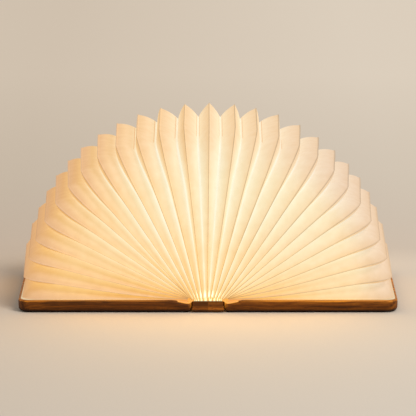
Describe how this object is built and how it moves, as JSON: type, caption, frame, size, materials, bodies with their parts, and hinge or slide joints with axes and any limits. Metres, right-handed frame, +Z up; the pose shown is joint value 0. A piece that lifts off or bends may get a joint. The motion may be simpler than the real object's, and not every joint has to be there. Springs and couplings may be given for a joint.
{
  "type": "folding book lamp",
  "caption": "Folding book lamp lying open: two walnut covers hinged to a walnut spine with the light and battery, joined by a half-round fan of pleated translucent paper.",
  "frame": {"origin": "centre of the footprint on the table, lamp open flat", "axes": "+X to the right across the covers, +Y to the back along the spine, +Z up"},
  "size_m": [0.374, 0.215, 0.1797],
  "materials": {
    "walnut_cover": "satin oiled walnut",
    "walnut_spine": "satin oiled walnut",
    "paper": "matt translucent non-woven paper",
    "book_cloth": "woven book cloth",
    "deck": "brushed",
    "screw": "black zinc plated",
    "steel": "nickel plated",
    "led_board": "white solder mask",
    "led": "phosphor yellow",
    "diffuser": "milky diffuser",
    "battery_foil": "matt foil",
    "foam": "foam tape",
    "wire": "wire insulation",
    "connector": "nylon",
    "circuit_board": "green solder mask",
    "chip": "moulded epoxy",
    "light_pipe": "clear acrylic"
  },
  "bodies": {
    "spine": {"spine_housing": "walnut_spine", "deck": "deck", "deck_screws": "screw", "led_board": "led_board", "leds": "led", "lens": "diffuser", "root_strip_front": "paper", "root_strip_back": "paper", "battery": "battery_foil", "battery_pad": "foam", "battery_leads": "wire", "battery_connector": "connector", "control_board": "circuit_board", "board_screws": "screw", "driver_chips": "chip", "hall_switch": "chip", "led_leads": "wire", "usb_port": "steel", "charge_light": "light_pipe", "leaf_middle": "paper", "hinge_cloth_right": "book_cloth", "hinge_cloth_left": "book_cloth"},
    "right_cover": {"cover_right": "walnut_cover", "lining_right": "paper", "trigger_magnet": "steel", "end_leaf_right": "paper"},
    "left_cover": {"cover_left": "walnut_cover", "lining_left": "paper", "end_leaf_left": "paper"},
    "right_leaf_1": {"leaf_right_1": "paper"},
    "right_leaf_2": {"leaf_right_2": "paper"},
    "right_leaf_3": {"leaf_right_3": "paper"},
    "right_leaf_4": {"leaf_right_4": "paper"},
    "right_leaf_5": {"leaf_right_5": "paper"},
    "right_leaf_6": {"leaf_right_6": "paper"},
    "right_leaf_7": {"leaf_right_7": "paper"},
    "right_leaf_8": {"leaf_right_8": "paper"},
    "right_leaf_9": {"leaf_right_9": "paper"},
    "right_leaf_10": {"leaf_right_10": "paper"},
    "right_leaf_11": {"leaf_right_11": "paper"},
    "right_leaf_12": {"leaf_right_12": "paper"},
    "left_leaf_1": {"leaf_left_1": "paper"},
    "left_leaf_2": {"leaf_left_2": "paper"},
    "left_leaf_3": {"leaf_left_3": "paper"},
    "left_leaf_4": {"leaf_left_4": "paper"},
    "left_leaf_5": {"leaf_left_5": "paper"},
    "left_leaf_6": {"leaf_left_6": "paper"},
    "left_leaf_7": {"leaf_left_7": "paper"},
    "left_leaf_8": {"leaf_left_8": "paper"},
    "left_leaf_9": {"leaf_left_9": "paper"},
    "left_leaf_10": {"leaf_left_10": "paper"},
    "left_leaf_11": {"leaf_left_11": "paper"},
    "left_leaf_12": {"leaf_left_12": "paper"}
  },
  "joints": [
    {"name": "right_cover_hinge", "type": "hinge", "parent": "spine", "child": "right_cover", "pos_m": [0.0163, 0, 0.012], "axis": [0, -1, 0], "range_deg": [0, 90], "deforming": ["hinge_cloth_right", "end_leaf_right", "leaf_middle"]},
    {"name": "right_leaf_1_fold", "type": "hinge", "parent": "spine", "child": "right_leaf_1", "pos_m": [0.0163, 0, 0.012], "axis": [0, -1, 0], "range_deg": [0, 6.93], "deforming": ["leaf_right_1"]},
    {"name": "right_leaf_2_fold", "type": "hinge", "parent": "spine", "child": "right_leaf_2", "pos_m": [0.0163, 0, 0.012], "axis": [0, -1, 0], "range_deg": [0, 13.86], "deforming": ["leaf_right_2"]},
    {"name": "right_leaf_3_fold", "type": "hinge", "parent": "spine", "child": "right_leaf_3", "pos_m": [0.0163, 0, 0.012], "axis": [0, -1, 0], "range_deg": [0, 20.78], "deforming": ["leaf_right_3"]},
    {"name": "right_leaf_4_fold", "type": "hinge", "parent": "spine", "child": "right_leaf_4", "pos_m": [0.0163, 0, 0.012], "axis": [0, -1, 0], "range_deg": [0, 27.7], "deforming": ["leaf_right_4"]},
    {"name": "right_leaf_5_fold", "type": "hinge", "parent": "spine", "child": "right_leaf_5", "pos_m": [0.0163, 0, 0.012], "axis": [0, -1, 0], "range_deg": [0, 34.62], "deforming": ["leaf_right_5"]},
    {"name": "right_leaf_6_fold", "type": "hinge", "parent": "spine", "child": "right_leaf_6", "pos_m": [0.0163, 0, 0.012], "axis": [0, -1, 0], "range_deg": [0, 41.55], "deforming": ["leaf_right_6"]},
    {"name": "right_leaf_7_fold", "type": "hinge", "parent": "spine", "child": "right_leaf_7", "pos_m": [0.0163, 0, 0.012], "axis": [0, -1, 0], "range_deg": [0, 48.47], "deforming": ["leaf_right_7"]},
    {"name": "right_leaf_8_fold", "type": "hinge", "parent": "spine", "child": "right_leaf_8", "pos_m": [0.0163, 0, 0.012], "axis": [0, -1, 0], "range_deg": [0, 55.4], "deforming": ["leaf_right_8"]},
    {"name": "right_leaf_9_fold", "type": "hinge", "parent": "spine", "child": "right_leaf_9", "pos_m": [0.0163, 0, 0.012], "axis": [0, -1, 0], "range_deg": [0, 62.32], "deforming": ["leaf_right_9"]},
    {"name": "right_leaf_10_fold", "type": "hinge", "parent": "spine", "child": "right_leaf_10", "pos_m": [0.0163, 0, 0.012], "axis": [0, -1, 0], "range_deg": [0, 69.24], "deforming": ["leaf_right_10"]},
    {"name": "right_leaf_11_fold", "type": "hinge", "parent": "spine", "child": "right_leaf_11", "pos_m": [0.0163, 0, 0.012], "axis": [0, -1, 0], "range_deg": [0, 76.16], "deforming": ["leaf_right_11"]},
    {"name": "right_leaf_12_fold", "type": "hinge", "parent": "spine", "child": "right_leaf_12", "pos_m": [0.0163, 0, 0.012], "axis": [0, -1, 0], "range_deg": [0, 83.09], "deforming": ["leaf_right_12"]},
    {"name": "left_cover_hinge", "type": "hinge", "parent": "spine", "child": "left_cover", "pos_m": [-0.0163, 0, 0.012], "axis": [0, 1, 0], "range_deg": [0, 90], "deforming": ["hinge_cloth_left", "end_leaf_left"]},
    {"name": "left_leaf_1_fold", "type": "hinge", "parent": "spine", "child": "left_leaf_1", "pos_m": [-0.0163, 0, 0.012], "axis": [0, 1, 0], "range_deg": [0, 6.93], "deforming": ["leaf_left_1"]},
    {"name": "left_leaf_2_fold", "type": "hinge", "parent": "spine", "child": "left_leaf_2", "pos_m": [-0.0163, 0, 0.012], "axis": [0, 1, 0], "range_deg": [0, 13.86], "deforming": ["leaf_left_2"]},
    {"name": "left_leaf_3_fold", "type": "hinge", "parent": "spine", "child": "left_leaf_3", "pos_m": [-0.0163, 0, 0.012], "axis": [0, 1, 0], "range_deg": [0, 20.78], "deforming": ["leaf_left_3"]},
    {"name": "left_leaf_4_fold", "type": "hinge", "parent": "spine", "child": "left_leaf_4", "pos_m": [-0.0163, 0, 0.012], "axis": [0, 1, 0], "range_deg": [0, 27.7], "deforming": ["leaf_left_4"]},
    {"name": "left_leaf_5_fold", "type": "hinge", "parent": "spine", "child": "left_leaf_5", "pos_m": [-0.0163, 0, 0.012], "axis": [0, 1, 0], "range_deg": [0, 34.62], "deforming": ["leaf_left_5"]},
    {"name": "left_leaf_6_fold", "type": "hinge", "parent": "spine", "child": "left_leaf_6", "pos_m": [-0.0163, 0, 0.012], "axis": [0, 1, 0], "range_deg": [0, 41.55], "deforming": ["leaf_left_6"]},
    {"name": "left_leaf_7_fold", "type": "hinge", "parent": "spine", "child": "left_leaf_7", "pos_m": [-0.0163, 0, 0.012], "axis": [0, 1, 0], "range_deg": [0, 48.47], "deforming": ["leaf_left_7"]},
    {"name": "left_leaf_8_fold", "type": "hinge", "parent": "spine", "child": "left_leaf_8", "pos_m": [-0.0163, 0, 0.012], "axis": [0, 1, 0], "range_deg": [0, 55.4], "deforming": ["leaf_left_8"]},
    {"name": "left_leaf_9_fold", "type": "hinge", "parent": "spine", "child": "left_leaf_9", "pos_m": [-0.0163, 0, 0.012], "axis": [0, 1, 0], "range_deg": [0, 62.32], "deforming": ["leaf_left_9"]},
    {"name": "left_leaf_10_fold", "type": "hinge", "parent": "spine", "child": "left_leaf_10", "pos_m": [-0.0163, 0, 0.012], "axis": [0, 1, 0], "range_deg": [0, 69.24], "deforming": ["leaf_left_10"]},
    {"name": "left_leaf_11_fold", "type": "hinge", "parent": "spine", "child": "left_leaf_11", "pos_m": [-0.0163, 0, 0.012], "axis": [0, 1, 0], "range_deg": [0, 76.16], "deforming": ["leaf_left_11"]},
    {"name": "left_leaf_12_fold", "type": "hinge", "parent": "spine", "child": "left_leaf_12", "pos_m": [-0.0163, 0, 0.012], "axis": [0, 1, 0], "range_deg": [0, 83.09], "deforming": ["leaf_left_12"]}
  ],
  "couplings": [
    {"joint": "right_leaf_1_fold", "follows": "right_cover_hinge", "ratio": 0.076923},
    {"joint": "right_leaf_2_fold", "follows": "right_cover_hinge", "ratio": 0.15385},
    {"joint": "right_leaf_3_fold", "follows": "right_cover_hinge", "ratio": 0.23077},
    {"joint": "right_leaf_4_fold", "follows": "right_cover_hinge", "ratio": 0.30769},
    {"joint": "right_leaf_5_fold", "follows": "right_cover_hinge", "ratio": 0.38461},
    {"joint": "right_leaf_6_fold", "follows": "right_cover_hinge", "ratio": 0.46154},
    {"joint": "right_leaf_7_fold", "follows": "right_cover_hinge", "ratio": 0.53846},
    {"joint": "right_leaf_8_fold", "follows": "right_cover_hinge", "ratio": 0.61538},
    {"joint": "right_leaf_9_fold", "follows": "right_cover_hinge", "ratio": 0.69231},
    {"joint": "right_leaf_10_fold", "follows": "right_cover_hinge", "ratio": 0.76923},
    {"joint": "right_leaf_11_fold", "follows": "right_cover_hinge", "ratio": 0.84615},
    {"joint": "right_leaf_12_fold", "follows": "right_cover_hinge", "ratio": 0.92308},
    {"joint": "left_leaf_1_fold", "follows": "left_cover_hinge", "ratio": 0.076923},
    {"joint": "left_leaf_2_fold", "follows": "left_cover_hinge", "ratio": 0.15385},
    {"joint": "left_leaf_3_fold", "follows": "left_cover_hinge", "ratio": 0.23077},
    {"joint": "left_leaf_4_fold", "follows": "left_cover_hinge", "ratio": 0.30769},
    {"joint": "left_leaf_5_fold", "follows": "left_cover_hinge", "ratio": 0.38461},
    {"joint": "left_leaf_6_fold", "follows": "left_cover_hinge", "ratio": 0.46154},
    {"joint": "left_leaf_7_fold", "follows": "left_cover_hinge", "ratio": 0.53846},
    {"joint": "left_leaf_8_fold", "follows": "left_cover_hinge", "ratio": 0.61538},
    {"joint": "left_leaf_9_fold", "follows": "left_cover_hinge", "ratio": 0.69231},
    {"joint": "left_leaf_10_fold", "follows": "left_cover_hinge", "ratio": 0.76923},
    {"joint": "left_leaf_11_fold", "follows": "left_cover_hinge", "ratio": 0.84615},
    {"joint": "left_leaf_12_fold", "follows": "left_cover_hinge", "ratio": 0.92308}
  ]
}
